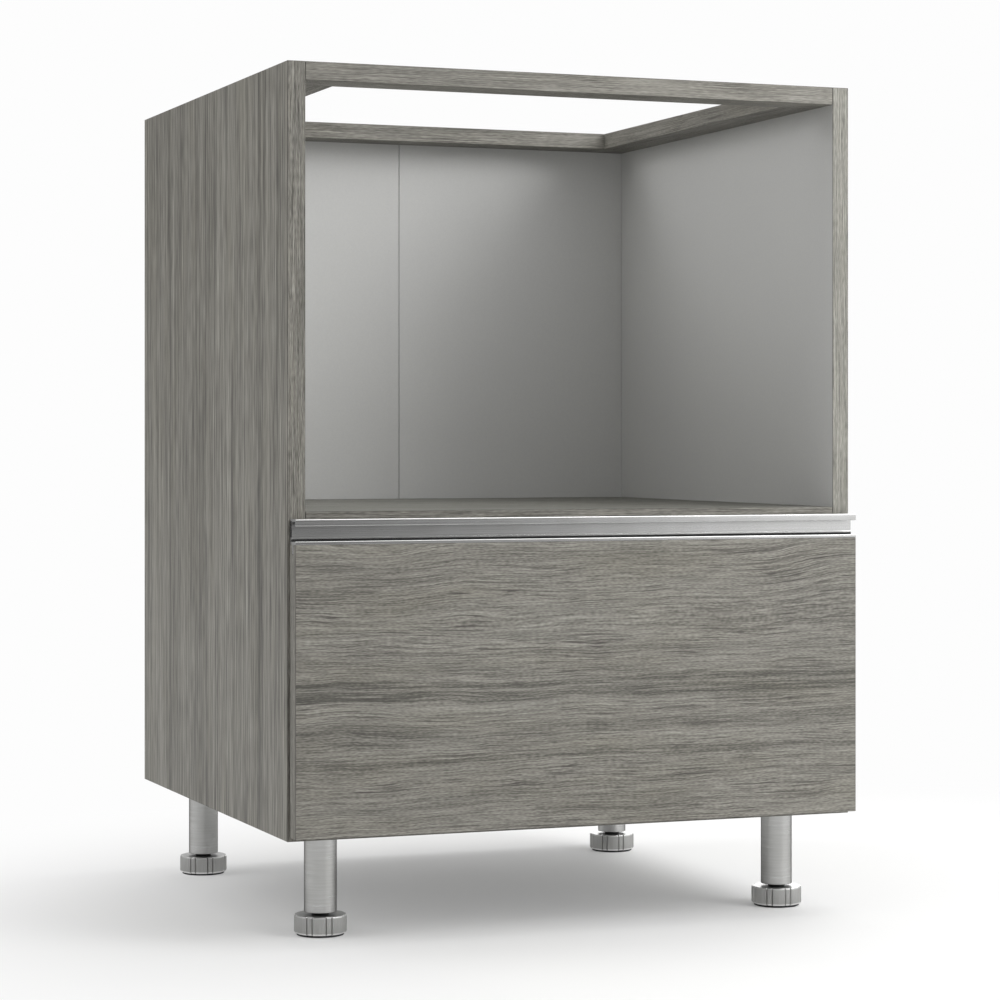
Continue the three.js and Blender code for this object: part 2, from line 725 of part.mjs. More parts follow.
// The threaded plug in the foot of the tube. Its nose stands out below as the wheel's stop.
function legBush() {
  const bore = boreRadius(spindleRadius, THREAD_CLEARANCE, SMALL_FACETS);
  const nose = BUSH_NOSE_DIAMETER / 2;
  const topZ = tubeBottomZ + BUSH_LENGTH;
  return turned([
    [bore, noseBottomZ],
    [nose, noseBottomZ],
    [nose, tubeBottomZ],
    [plugRadius, tubeBottomZ],
    [plugRadius, topZ],
    [bore, topZ],
    [bore, noseBottomZ],
  ], TUBE_FACETS);
}

function footSpindle() {
  const topZ = wheelTopZ + SPINDLE_REACH;
  const shaft = turned([
    [0, wheelBottomZ],
    [spindleRadius, wheelBottomZ],
    [spindleRadius, topZ - SPINDLE_CHAMFER],
    [spindleRadius - SPINDLE_CHAMFER, topZ],
    [0, topZ],
  ], SMALL_FACETS);
  const headRadius = hexagonRadius(SPINDLE_HEAD_WIDTH);
  const head = uprightCylinder(headRadius, wheelBottomZ, spindleHeadTopZ, 6);
  const socketRadius = boreRadius(PAD_PIN_DIAMETER / 2, PAD_PIN_CLEARANCE, SMALL_FACETS);
  const socketTopZ = PAD_THICKNESS + PAD_PIN_HEIGHT + PAD_PIN_CLEARANCE;
  const socket = uprightCylinder(socketRadius, wheelBottomZ - 1, socketTopZ, SMALL_FACETS);
  return cut(join(shaft, head), socket);
}

// Outline of the adjusting wheel inside its chamfered edges, which widen it all round: grip
// lobes with shallow flutes between them.
function wheelOutline() {
  const pitch = 2 * Math.PI / WHEEL_LOBES;
  const outer = wheelRadius - WHEEL_EDGE;
  const flute = outer - WHEEL_FLUTE_DEPTH;
  const lobe = THREE.MathUtils.degToRad(WHEEL_LOBE_ANGLE) - 2 * WHEEL_EDGE / outer;
  const onCircle = (radius, angle) => [radius * Math.cos(angle), radius * Math.sin(angle)];
  const points = [];
  for (let index = 0; index < WHEEL_LOBES; index += 1) {
    const start = (index + 0.5) * pitch - lobe / 2;
    points.push(onCircle(flute, start));
    for (let step = 0; step <= WHEEL_LOBE_FACETS; step += 1) {
      points.push(onCircle(outer, start + lobe * step / WHEEL_LOBE_FACETS));
    }
    points.push(onCircle(flute, start + lobe));
  }
  return outlineShape(points);
}

function footWheel() {
  const body = new THREE.ExtrudeGeometry(wheelOutline(), {
    depth: wheelTopZ - wheelBottomZ - 2 * WHEEL_EDGE,
    bevelThickness: WHEEL_EDGE,
    bevelSize: WHEEL_EDGE,
    bevelSegments: 1,
  }).translate(0, 0, wheelBottomZ + WHEEL_EDGE);
  const bore = boreRadius(spindleRadius, THREAD_CLEARANCE, SMALL_FACETS);
  const shaftHole = uprightCylinder(bore, wheelBottomZ - 1, wheelTopZ + 1, SMALL_FACETS);
  const pocketRadius = hexagonRadius(SPINDLE_HEAD_WIDTH + 2 * THREAD_CLEARANCE);
  const pocket = uprightCylinder(pocketRadius, wheelBottomZ - 1, spindleHeadTopZ + GLUE_LINE, 6);
  return cut(body, shaftHole, pocket);
}

function footPad() {
  const radius = wheelRadius - PAD_INSET;
  const pin = PAD_PIN_DIAMETER / 2;
  return turned([
    [0, 0],
    [radius - PAD_EDGE, 0],
    [radius, PAD_EDGE],
    [radius, PAD_THICKNESS],
    [pin, PAD_THICKNESS],
    [pin, PAD_THICKNESS + PAD_PIN_HEIGHT],
    [0, PAD_THICKNESS + PAD_PIN_HEIGHT],
  ], SMALL_FACETS);
}

function addLeg(place, x, y) {
  addPiece(`leg_plate_${place}`, legPlate().translate(x, y, 0), satinAluminium());
  addPiece(`leg_tube_${place}`, legTube().translate(x, y, 0), satinAluminium());
  addPiece(`leg_bush_${place}`, legBush().translate(x, y, 0), blackNylon());
  addPiece(`foot_spindle_${place}`, footSpindle().translate(x, y, 0), zincPlatedSteel());
  addPiece(`foot_wheel_${place}`, footWheel().translate(x, y, 0), satinAluminium());
  addPiece(`foot_pad_${place}`, footPad().translate(x, y, 0), blackRubber());
}

// ---------------------------------------------------------------------------------------
// Assembly
// ---------------------------------------------------------------------------------------

addCarcass();
addDrawerFront();
addDrawerBox();
addRunner('left', -1);
addRunner('right', 1);

const legX = sideOuterX - LEG_SIDE_INSET;
const frontLegY = carcassFrontY + LEG_FRONT_INSET;
const backLegY = carcassBackY - LEG_BACK_INSET;
addLeg('front_left', -legX, frontLegY);
addLeg('front_right', legX, frontLegY);
addLeg('back_left', -legX, backLegY);
addLeg('back_right', legX, backLegY);

export default cabinet;
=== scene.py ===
import math

import bmesh
import bpy
from mathutils import Matrix, Vector


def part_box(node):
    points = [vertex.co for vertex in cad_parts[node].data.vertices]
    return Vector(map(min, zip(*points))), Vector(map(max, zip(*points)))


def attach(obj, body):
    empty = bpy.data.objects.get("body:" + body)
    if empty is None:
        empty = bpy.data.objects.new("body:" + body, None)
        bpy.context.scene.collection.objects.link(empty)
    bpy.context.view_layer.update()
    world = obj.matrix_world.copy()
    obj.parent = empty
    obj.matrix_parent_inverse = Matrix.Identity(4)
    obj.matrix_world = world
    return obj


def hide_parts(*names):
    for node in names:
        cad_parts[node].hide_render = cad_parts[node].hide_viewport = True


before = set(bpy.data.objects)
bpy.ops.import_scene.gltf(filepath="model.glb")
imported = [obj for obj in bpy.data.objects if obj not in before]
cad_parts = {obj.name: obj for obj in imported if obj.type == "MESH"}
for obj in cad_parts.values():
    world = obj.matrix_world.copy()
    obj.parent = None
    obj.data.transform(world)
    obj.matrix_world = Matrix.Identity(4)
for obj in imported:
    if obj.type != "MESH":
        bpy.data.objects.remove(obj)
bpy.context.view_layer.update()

# A grey oak kitchen base unit for a built-in microwave: an open niche over one drawer, on four
# adjustable aluminium legs. Sizes are in metres, except where a name or a comment says mm.

MM = 0.001
LEGS = ("front_left", "front_right", "back_left", "back_right")


# ---------------------------------------------------------------- camera

def stand_camera():
    """The photographer's place: left of the cabinet, at half its height, level, with a long lens."""
    lens = bpy.data.cameras.new("camera")
    lens.lens = 103.38
    lens.sensor_width = 36
    lens.shift_y = -0.0596
    lens.clip_end = 100
    camera = bpy.data.objects.new("camera", lens)
    camera.location = (-1.1016, -2.8789, 0.4817)
    camera.rotation_euler = (math.radians(90), 0, math.radians(-21.278))
    bpy.context.collection.objects.link(camera)
    bpy.context.scene.camera = camera


# ---------------------------------------------------------------- colours and shader nodes

def paint(hex_colour):
    """An sRGB hex colour as linear light, with an alpha of 1."""
    parts = [int(hex_colour[i:i + 2], 16) / 255 for i in (1, 3, 5)]
    linear = [p / 12.92 if p <= 0.04045 else ((p + 0.055) / 1.055) ** 2.4 for p in parts]
    return (*linear, 1)


def put(tree, kind, sockets=None, out=0, **settings):
    """Adds one shader node with its settings, sets or links its sockets, and gives one of its outputs."""
    node = tree.nodes.new("ShaderNode" + kind)
    for name, value in settings.items():
        setattr(node, name, value)
    for name, value in (sockets or {}).items():
        if isinstance(value, bpy.types.NodeSocket):
            tree.links.new(value, node.inputs[name])
        else:
            node.inputs[name].default_value = value
    return node.outputs[out] if node.outputs else None


# The sockets of a Mix node, by what it mixes.
SHARE = 0
VECTOR_A, VECTOR_B, VECTOR_OUT = 4, 5, 1
COLOUR_A, COLOUR_B, COLOUR_OUT = 6, 7, 2


def straight_or_mirrored(tree):
    """The light path's outputs, and 1 for what the eye sees straight, in a mirror or through glass."""
    ray = put(tree, "LightPath").node.outputs
    seen = put(tree, "Math", {0: ray["Is Camera Ray"], 1: ray["Is Transmission Ray"]}, operation="ADD")
    return ray, put(tree, "Math", {0: seen, 1: ray["Is Glossy Ray"]}, operation="ADD")


def new_finish(name):
    """An empty material and its node tree."""
    finish = bpy.data.materials.new(name)
    finish.use_nodes = True
    finish.node_tree.nodes.clear()
    return finish, finish.node_tree


def place_in_mm(tree):
    """Where a point lies on its piece, in millimetres."""
    place = put(tree, "TexCoord", out="Object")
    return put(tree, "VectorMath", {0: place, 1: (1000, 1000, 1000)}, operation="MULTIPLY")


def cloud(tree, place, size, start=(0, 0, 0), detail=2.0, low=None, high=None, between=(0, 1)):
    """Soft light and dark, where size is its grain in mm along each axis.
    With low and high, what lies between them is spread over the range given by between."""
    spread = put(tree, "VectorMath", {0: place, 1: [1 / s for s in size], 2: start}, operation="MULTIPLY_ADD")
    tone = put(tree, "TexNoise", {"Vector": spread, "Scale": 1, "Detail": detail})
    if low is None:
        return tone
    return put(tree, "MapRange", {0: tone, 1: low, 2: high, 3: between[0], 4: between[1]})


# A face looks in a direction when the cosine of the angle between them is above this.
LOOKS_THAT_WAY = 0.8


def facing(tree, *directions):
    """1 where a face looks in one of those directions, else 0."""
    normal = put(tree, "NewGeometry", out="True Normal")
    total = 0.0
    for direction in directions:
        along = put(tree, "VectorMath", {0: normal, 1: direction}, "Value", operation="DOT_PRODUCT")
        square_on = put(tree, "Math", {0: along, 1: LOOKS_THAT_WAY}, operation="GREATER_THAN")
        total = put(tree, "Math", {0: total, 1: square_on}, operation="ADD")
    return total


def on_arris(tree, darkness):
    """darkness on the narrow eased faces along a board's edges, where no face is square to an axis.
    The thin dark line it gives is painted shade of the joints between boards.
    """
    normal = put(tree, "NewGeometry", out="True Normal")
    square = put(tree, "VectorMath", {0: normal, 1: normal}, operation="MULTIPLY")
    fourth = put(tree, "VectorMath", {0: square, 1: square}, "Value", operation="DOT_PRODUCT")
    return put(tree, "MapRange", {0: fourth, 1: 0.9, 2: 0.98, 3: darkness, 4: 0.0})


def on_slant(tree, brightness):
    """A painted highlight: brightness on faces that are neither level nor upright,
    as the rounds of a profile or a rim are.
    """
    normal = put(tree, "NewGeometry", out="True Normal")
    steep = put(tree, "VectorMath", {0: normal, 1: (0, 0, 1)}, "Value", operation="DOT_PRODUCT")
    steep = put(tree, "Math", {0: steep}, operation="ABSOLUTE")
    past_upright = put(tree, "MapRange", {0: steep, 1: 0.2, 2: 0.33, 3: 0.0, 4: brightness})
    short_of_level = put(tree, "MapRange", {0: steep, 1: 0.93, 2: 0.99, 3: 1.0, 4: 0.0})
    return put(tree, "Math", {0: past_upright, 1: short_of_level}, operation="MULTIPLY")


# ---------------------------------------------------------------- board finishes

# The axis that a grain runs along, by its place in AXES.
GRAIN_X, GRAIN_Y, GRAIN_Z = 0, 1, 2
AXES = ((1, 0, 0), (0, 1, 0), (0, 0, 1))


def run_of_grain(tree, place, grain, edge_grain, reach, spacing):
    """The place as (along, across, through) the grain, and 1 where a strip of edging lies.
    A strip's grain runs along it. It comes from a narrow roll, so reach and spacing are undone there."""
    part = put(tree, "SeparateXYZ", {0: place}).node.outputs
    rest = 3 - grain - edge_grain
    on_face = put(tree, "CombineXYZ", {0: part[grain], 1: part[edge_grain], 2: part[rest]})
    end = facing(tree, AXES[grain], [-a for a in AXES[grain]])
    edge = facing(tree, AXES[edge_grain], [-a for a in AXES[edge_grain]])
    along = put(tree, "Mix", {0: end, 2: part[grain], 3: part[edge_grain]}, data_type="FLOAT")
    on_strip = put(tree, "CombineXYZ", {0: along, 1: part[rest], 2: end})
    on_strip = put(tree, "VectorMath", {0: on_strip, 1: (0.7 * reach, 1.6 * spacing, 40)},
                   operation="MULTIPLY")
    strip = put(tree, "Math", {0: end, 1: edge}, operation="MAXIMUM")
    run = put(tree, "Mix", {SHARE: strip, VECTOR_A: on_face, VECTOR_B: on_strip}, VECTOR_OUT,
              data_type="VECTOR")
    return run, strip


# The print's broad layers follow the growth rings: (length in mm, width in mm, darkness, detail).
RINGS = ((460, 34, 0.18, 1), (190, 9, 0.10, 2), (110, 3, 0.10, 2))
# Its fine layers follow the fibres. Real ones are 0.2 mm wide, and these are drawn 1 mm wide to show.
FIBRES = ((90, 1.2, 0.44, 1), (30, 1.0, 0.40, 1))
# Its dark lines of pores: (length in mm, width in mm).
PORES = ((85, 1.3), (34, 1.0))
# A sheet that is printed coarser has these fine fibres too, of the same kind.
FINE_FIBRES = ((70, 1.0, 0.50, 1), (24, 0.9, 0.36, 1))
# Fine flecks 5 mm long break the fibres up by this much.
FLECK = 0.17
EDGING_CONTRAST = 1.35
# Its inks, from the darkest tone to the lightest, and that of the pores.
INKS = ((0.0, "#504f49"), (0.28, "#6c6a63"), (0.5, "#827f78"), (0.72, "#918f87"), (1.0, "#a5a39b"))
PORE_INK = "#474440"
# An olive cast and a grey one come and go over a hand's width: (shade, size in mm, start).
CASTS = (("#c9c5ac", (150, 28, 28), (7, 3, 1)), ("#bfc3c4", (110, 20, 20), (2, 9, 5)))
# How the grain drifts sideways: (length in mm, width in mm, sway in mm).
DRIFTS = ((300, 110, 13), (75, 30, 3.5), (24, 10, 0.7))


def oak_print(tree, place, start, wander, arches, bands, reach, spacing, contrast, strip):
    """The printed grey oak: its colour, and a height for the pressed pores.
    wander bends the grain, arches are (begin, axis, rise, run, spread) where the rings fan out above an axis,
    bands are (across, half width, darkness) in mm, reach stretches the streaks and spacing sets them
    further apart across the face. Where strip is 1, the contrast is that of the edging's roll."""
    part = put(tree, "SeparateXYZ", {0: place}).node.outputs
    across = part[1]
    for length, width, sway in DRIFTS:
        half = sway * wander / 2
        wave = cloud(tree, place, (length, width, width), start, 2, 0.2, 0.8, (-half, half))
        across = put(tree, "Math", {0: across, 1: wave}, operation="ADD")
    fibre = across
    for begin, axis, rise, run, spread in arches:
        past = put(tree, "MapRange", {0: part[0], 1: begin, 2: begin + run}, interpolation_type="SMOOTHSTEP")
        above = put(tree, "MapRange", {0: across, 1: axis, 2: axis + spread, 3: 0.0, 4: -rise},
                    interpolation_type="SMOOTHSTEP")
        across = put(tree, "Math", {0: past, 1: above, 2: across}, operation="MULTIPLY_ADD")
    if arches:
        fibre = put(tree, "Mix", {0: 0.6, 2: fibre, 3: across}, data_type="FLOAT")
    ring_place = put(tree, "CombineXYZ", {0: part[0], 1: across, 2: part[2]})
    fibre_place = put(tree, "CombineXYZ", {0: part[0], 1: fibre, 2: part[2]})

    tone = cloud(tree, fibre_place, (5 * reach, 1.0 * spacing, 1.0), start, 0, 0.25, 0.75, (-FLECK, FLECK))
    for layers, way in ((RINGS, ring_place), (FIBRES, fibre_place)):
        for length, width, darkness, detail in layers:
            size = (length * reach, width * spacing, width)
            layer = cloud(tree, way, size, start, detail, 0.25, 0.75, (-darkness / 2, darkness / 2))
            tone = put(tree, "Math", {0: tone, 1: layer}, operation="ADD")
    if spacing > 1:
        for length, width, darkness, detail in FINE_FIBRES:
            size = (length * reach, width, width)
            seed = (start[1], start[2], start[0])
            layer = cloud(tree, fibre_place, size, seed, detail, 0.25, 0.75, (-darkness / 2, darkness / 2))
            tone = put(tree, "Math", {0: tone, 1: layer}, operation="ADD")
    strength = put(tree, "Mix", {0: strip, 2: contrast, 3: EDGING_CONTRAST}, data_type="FLOAT")
    tone = put(tree, "Math", {0: tone, 1: strength, 2: 0.5}, operation="MULTIPLY_ADD")
    broken = cloud(tree, ring_place, (120 * reach, 1.6, 1.6), start, 2, 0.35, 0.6, (0.3, 1))
    for centre, half_width, darkness in bands:
        offset = put(tree, "Math", {0: across, 1: -1 / half_width, 2: centre / half_width},
                     operation="MULTIPLY_ADD")
        edge = put(tree, "Math", {0: offset, 1: offset}, operation="MULTIPLY")
        band = put(tree, "MapRange", {0: edge, 1: 0.0, 2: 2.5, 3: -darkness, 4: 0.0},
                   interpolation_type="SMOOTHSTEP")
        tone = put(tree, "Math", {0: band, 1: broken, 2: tone}, operation="MULTIPLY_ADD")
    ink = put(tree, "ValToRGB", {0: tone})
    steps = ink.node.color_ramp.elements
    steps.remove(steps[1])
    steps[0].color = paint(INKS[0][1])
    for position, shade in INKS[1:]:
        steps.new(position).color = paint(shade)
    for shade, size, offset in CASTS:
        cast = cloud(tree, ring_place, size, offset, 2, 0.45, 0.78, (0, 0.22))
        ink = put(tree, "Mix", {SHARE: cast, COLOUR_A: ink, COLOUR_B: paint(shade)}, COLOUR_OUT,
                  data_type="RGBA", blend_type="MULTIPLY")

    # Pores lie in thin dark lines, which come in patches.
    patches = cloud(tree, ring_place, (90, 16, 16), start, 2, 0.35, 0.65, (0.15, 1))
    pores = 0.0
    seeds = ((start[2], start[0], start[1]), (start[1], start[2], start[0]))
    for (length, width), seed in zip(PORES, seeds):
        size = (length * reach, width * spacing, width)
        line = cloud(tree, fibre_place, size, seed, 1, 0.59, 0.645, (0, 0.8))
        pores = put(tree, "Math", {0: line, 1: patches, 2: pores}, operation="MULTIPLY_ADD")
    pores = put(tree, "Math", {0: pores, 1: strength}, operation="MULTIPLY")
    ink = put(tree, "Mix", {SHARE: pores, COLOUR_A: ink, COLOUR_B: paint(PORE_INK)}, COLOUR_OUT,
              data_type="RGBA")
    return ink, put(tree, "Math", {0: pores, 1: -2.0, 2: tone}, operation="MULTIPLY_ADD")


def melamine_skin(tree, place):
    """Light grey melamine paper pressed on the board, with the fine pearl of the press plate."""
    pearl = cloud(tree, place, (1.6, 1.6, 1.6), (0, 0, 0), 2, 0.3, 0.7)
    wide = cloud(tree, place, (160, 160, 160), (4, 4, 4), 2, 0.3, 0.7, (0, 0.5))
    shade = put(tree, "Mix", {SHARE: wide, COLOUR_A: paint("#cacac8"), COLOUR_B: paint("#c5c5c4")},
                COLOUR_OUT, data_type="RGBA")
    fleck = put(tree, "Math", {0: pearl, 1: 0.3}, operation="MULTIPLY")
    return put(tree, "Mix", {SHARE: fleck, COLOUR_A: shade, COLOUR_B: paint("#bdbdbc")},
               COLOUR_OUT, data_type="RGBA"), pearl


def chipboard_core(tree, place):
    """Raw chipboard: pale and brown chips 2 to 4 mm long, pressed flat."""
    spread = put(tree, "VectorMath", {0: place, 1: (0.42, 0.42, 0.9)}, operation="MULTIPLY")
    chips = put(tree, "TexVoronoi", {"Vector": spread, "Scale": 1}).node.outputs
    wood = put(tree, "Mix", {SHARE: chips["Color"], COLOUR_A: paint("#8d7757"), COLOUR_B: paint("#c4ad87")},
               COLOUR_OUT, data_type="RGBA")
    gap = put(tree, "MapRange", {0: chips["Distance"], 1: 0.45, 2: 0.8, 3: 0.0, 4: 0.6})
    return put(tree, "Mix", {SHARE: gap, COLOUR_A: wood, COLOUR_B: paint("#5f4d37")},
               COLOUR_OUT, data_type="RGBA")


def laminated_board(name, grain, edge_grain, start, wander=0.4, arches=(), bands=(), reach=1.5,
                    spacing=1.0, contrast=1.0, plain_sides=(), raw_sides=(), painted_lit_side=None, wash=None):
    """Chipboard with a grey oak laminate pressed on it: a matt print with pores pressed in.
    plain_sides have grey melamine, raw_sides no edging, and painted_lit_side an edging painted lighter:
    painted light, as a lamp close to that side gives it.
    wash darkens the sheet's broad faces by that shade, and leaves its edging as it is."""
    finish, tree = new_finish(name)
    place = place_in_mm(tree)
    run, strip = run_of_grain(tree, place, grain, edge_grain, reach, spacing)
    colour, height = oak_print(tree, run, start, wander, arches, bands, reach, spacing, contrast, strip)
    if wash:
        sheet = put(tree, "Math", {0: 1.0, 1: strip}, operation="SUBTRACT")
        colour = put(tree, "Mix", {SHARE: sheet, COLOUR_A: colour, COLOUR_B: paint(wash)}, COLOUR_OUT,
                     data_type="RGBA", blend_type="MULTIPLY")
    # Painted light: the edging on the lit side is made lighter, as a lamp near it would make it.
    if painted_lit_side:
        roll = facing(tree, painted_lit_side)
        colour = put(tree, "Mix", {SHARE: roll, COLOUR_A: colour, COLOUR_B: paint("#434441")}, COLOUR_OUT,
                     data_type="RGBA", blend_type="ADD")
    plain, pearl = melamine_skin(tree, place)
    is_plain = facing(tree, *plain_sides)
    is_raw = facing(tree, *raw_sides)
    colour = put(tree, "Mix", {SHARE: is_plain, COLOUR_A: colour, COLOUR_B: plain}, COLOUR_OUT,
                 data_type="RGBA")
    if raw_sides:
        core = chipboard_core(tree, place)
        colour = put(tree, "Mix", {SHARE: is_raw, COLOUR_A: colour, COLOUR_B: core}, COLOUR_OUT,
                     data_type="RGBA")
    # Each edge is a thin darker line: partly the edging's glue line and cut foil, partly painted shade
    # of the joints between boards.
    colour = put(tree, "Mix", {SHARE: on_arris(tree, 0.7), COLOUR_A: colour, COLOUR_B: paint("#3f3d39")},
                 COLOUR_OUT, data_type="RGBA")
    rough = put(tree, "Math", {0: is_raw, 1: 0.35, 2: 0.5}, operation="MULTIPLY_ADD")
    rough = put(tree, "Math", {0: pearl, 1: 0.05, 2: rough}, operation="MULTIPLY_ADD")
    bare = put(tree, "Math", {0: is_plain, 1: is_raw}, operation="ADD")
    relief = put(tree, "Mix", {0: bare, 2: height, 3: pearl}, data_type="FLOAT")
    pressed = put(tree, "Bump", {"Height": relief, "Strength": 1.0, "Distance": 0.04 * MM})
    surface = put(tree, "BsdfPrincipled", {"Base Color": colour, "Roughness": rough, "Normal": pressed,
                                           "IOR": 1.5, "Specular IOR Level": 0.35})
    put(tree, "OutputMaterial", {"Surface": surface})
    return finish


def grey_melamine(name):
    """Light grey melamine all round, matt, as on drawer boxes and cabinet backs."""
    finish, tree = new_finish(name)
    colour, pearl = melamine_skin(tree, place_in_mm(tree))
    # Each edge is a thin darker line: painted shade of the joints between boards.
    colour = put(tree, "Mix", {SHARE: on_arris(tree, 0.35), COLOUR_A: colour, COLOUR_B: paint("#6f6f6d")},
                 COLOUR_OUT, data_type="RGBA")
    rough = put(tree, "Math", {0: pearl, 1: 0.08, 2: 0.46}, operation="MULTIPLY_ADD")
    pressed = put(tree, "Bump", {"Height": pearl, "Strength": 1.0, "Distance": 0.01 * MM})
    surface = put(tree, "BsdfPrincipled", {"Base Color": colour, "Roughness": rough, "Normal": pressed,
                                           "IOR": 1.5})
    put(tree, "OutputMaterial", {"Surface": surface})
    return finish


# ---------------------------------------------------------------- metal, plastic and rubber finishes

def satin_metal(name, shade, line_size, rough, line_depth=0.001, edge_on="#ffffff", painted_highlight=0.0):
    """Metal with fine lines left by the die, the lathe or the belt, line_size mm along each axis.
    The lines blur what it mirrors, and its colour varies slightly from hand to hand. An oxide skin
    darkens it by the shade edge_on where it curves away. Its rounds and rims are made brighter: a painted
    highlight."""
    finish, tree = new_finish(name)
    place = place_in_mm(tree)
    lines = cloud(tree, place, line_size, (0, 0, 0), 3, 0.3, 0.7)
    cast = cloud(tree, place, (30, 30, 30), (3, 8, 2), 2, 0.3, 0.7, (0, 0.6))
    colour = put(tree, "Mix", {SHARE: lines, COLOUR_A: paint(shade), COLOUR_B: paint("#f3f3f2")}, COLOUR_OUT,
                 data_type="RGBA", blend_type="MULTIPLY")
    colour = put(tree, "Mix", {SHARE: cast, COLOUR_A: colour, COLOUR_B: paint("#f2f2f0")}, COLOUR_OUT,
                 data_type="RGBA", blend_type="MULTIPLY")
    # Painted highlight: the rounds and rims are made brighter, where light from above would glint.
    if painted_highlight:
        bright = on_slant(tree, painted_highlight)
        colour = put(tree, "Mix", {SHARE: bright, COLOUR_A: colour, COLOUR_B: paint("#f4f4f3")},
                     COLOUR_OUT, data_type="RGBA")
    blur = put(tree, "MapRange", {0: lines, 3: rough[0], 4: rough[1]})
    cut = put(tree, "Bump", {"Height": lines, "Strength": 1.0, "Distance": line_depth * MM})
    surface = put(tree, "BsdfPrincipled", {"Base Color": colour, "Roughness": blur, "Normal": cut,
                                           "Metallic": 1.0, "Specular Tint": paint(edge_on)})
    put(tree, "OutputMaterial", {"Surface": surface})
    return finish


def moulded(name, shade, rough, spark_mm, relief_mm):
    """Plastic or rubber from an eroded mould: an even colour broken by a fine matt grain."""
    finish, tree = new_finish(name)
    place = place_in_mm(tree)
    grain = cloud(tree, place, (spark_mm, spark_mm, spark_mm), (0, 0, 0), 2, 0.3, 0.7)
    scuff = cloud(tree, place, (9, 9, 9), (5, 1, 6), 3, 0.5, 0.8, (0, 0.25))
    colour = put(tree, "Mix", {SHARE: scuff, COLOUR_A: paint(shade), COLOUR_B: paint("#55565a")}, COLOUR_OUT,
                 data_type="RGBA", blend_type="SCREEN")
    matt = put(tree, "MapRange", {0: grain, 3: rough - 0.08, 4: rough + 0.08})
    eroded = put(tree, "Bump", {"Height": grain, "Strength": 1.0, "Distance": relief_mm * MM})
    surface = put(tree, "BsdfPrincipled", {"Base Color": colour, "Roughness": matt, "Normal": eroded,
                                           "IOR": 1.5})
    put(tree, "OutputMaterial", {"Surface": surface})
    return finish


def clear_silicone(name):
    """Cast clear silicone, slightly milky and glossy."""
    finish, tree = new_finish(name)
    milk = cloud(tree, place_in_mm(tree), (2, 2, 2), (0, 0, 0), 2, 0.3, 0.7)
    colour = put(tree, "Mix", {SHARE: milk, COLOUR_A: paint("#dfe3e4"), COLOUR_B: paint("#c9cfd1")},
                 COLOUR_OUT, data_type="RGBA")
    gloss = put(tree, "MapRange", {0: milk, 3: 0.18, 4: 0.3})
    surface = put(tree, "BsdfPrincipled", {"Base Color": colour, "Roughness": gloss, "IOR": 1.41,
                                           "Transmission Weight": 0.7})
    put(tree, "OutputMaterial", {"Surface": surface})
    return finish


def paper_tape(name):
    """Grey paper tape with a slight crepe, over the joint of the back's two halves."""
    finish, tree = new_finish(name)
    crepe = cloud(tree, place_in_mm(tree), (7, 7, 0.9), (0, 0, 0), 3, 0.3, 0.7)
    colour = put(tree, "Mix", {SHARE: crepe, COLOUR_A: paint("#a8a49b"), COLOUR_B: paint("#bdb9af")},
                 COLOUR_OUT, data_type="RGBA")
    rough = put(tree, "MapRange", {0: crepe, 3: 0.6, 4: 0.75})
    ridges = put(tree, "Bump", {"Height": crepe, "Strength": 1.0, "Distance": 0.05 * MM})
    surface = put(tree, "BsdfPrincipled", {"Base Color": colour, "Roughness": rough, "Normal": ridges,
                                           "IOR": 1.45})
    put(tree, "OutputMaterial", {"Surface": surface})
    return finish


# ---------------------------------------------------------------- dressing the CAD nodes

def dress(name, finish):
    """Gives a CAD node its finish."""
    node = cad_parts[name]
    node.data.materials.clear()
    node.data.materials.append(finish)
    return node


def ease_edges(node, width_mm, steps=2):
    """Eases a node's sharp edges, as its edging, die or press leaves them."""
    weld = node.modifiers.new("one_skin", "WELD")
    weld.merge_threshold = 0.00002
    clean = node.modifiers.new("whole_faces", "DECIMATE")
    clean.decimate_type = "DISSOLVE"
    clean.angle_limit = math.radians(1)
    bevel = node.modifiers.new("eased_edges", "BEVEL")
    bevel.width = width_mm * MM
    bevel.segments = steps
    bevel.limit_method = "ANGLE"
    bevel.angle_limit = math.radians(40)


def round_over(piece, sharp_degrees):
    """Smooths a piece's rounds below that angle, while its broad flat faces stay flat."""
    mesh = piece.data
    mesh.polygons.foreach_set("use_smooth", [True] * len(mesh.polygons))
    mesh.set_sharp_from_angle(angle=math.radians(sharp_degrees))
    even = piece.modifiers.new("flat_faces_stay_flat", "WEIGHTED_NORMAL")
    even.keep_sharp = True


# Darker stripes of a board, as (mm across the board in the cabinet's frame, half width, darkness).
SIDE_BANDS = ((-172, 5, 0.30), (171, 4, 0.26), (62, 5, 0.12), (-84, 5, 0.13), (-232, 4, 0.12), (228, 4, 0.10))
FRONT_BANDS = ((248, 3.0, 0.40), (236, 5.0, 0.46), (202, 6, 0.22), (172, 3.0, 0.30), (362, 5, 0.16))
# Where the drawer front's rings fan out: (begin, axis, rise, run, spread) in mm.
FRONT_ARCHES = ((-210, 298, 13, 95, 22), (190, 298, 13, 95, 22))
LEFT, RIGHT, FRONT, REAR, UP, DOWN = (-1, 0, 0), (1, 0, 0), (0, -1, 0), (0, 1, 0), (0, 0, 1), (0, 0, -1)
# How far a board's edges are eased, in mm: under edging, on thin boards, and on tape.
EDGED, THIN, TAPED = 0.5, 0.25, 0.1


